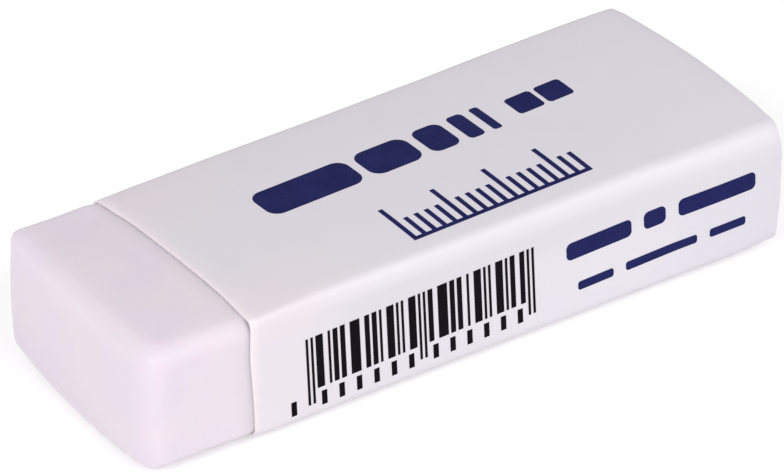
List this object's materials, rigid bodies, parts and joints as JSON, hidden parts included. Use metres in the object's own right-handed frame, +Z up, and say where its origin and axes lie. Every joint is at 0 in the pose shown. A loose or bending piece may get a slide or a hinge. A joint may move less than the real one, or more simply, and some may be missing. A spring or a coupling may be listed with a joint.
{
  "type": "rubber eraser",
  "caption": "Soft white block eraser with crowned faces in an open-ended printed card sleeve; the block slides along inside the sleeve.",
  "frame": {"origin": "middle of the flat strip along the sleeve's underside", "axes": "+X along the block from its bare end to its covered end, -Y the side printed with bars, +Z up"},
  "size_m": [0.0601, 0.023, 0.012],
  "materials": {
    "vinyl": "soft white vinyl, satin, faintly lilac",
    "card": "thin coated white card, smooth, slight sheen",
    "navy_ink": "printed ink, navy, slight sheen",
    "black_ink": "printed ink, near black, slight sheen"
  },
  "bodies": {
    "sleeve": {"card_sleeve": "card", "top_print": "navy_ink", "side_print": "navy_ink", "bar_print": "black_ink"},
    "block": {"rubber_block": "vinyl"}
  },
  "joints": [
    {"name": "block_slide", "type": "slide", "parent": "sleeve", "child": "block", "axis": [-1, 0, 0], "range_m": [-0.0094, 0.052]}
  ]
}
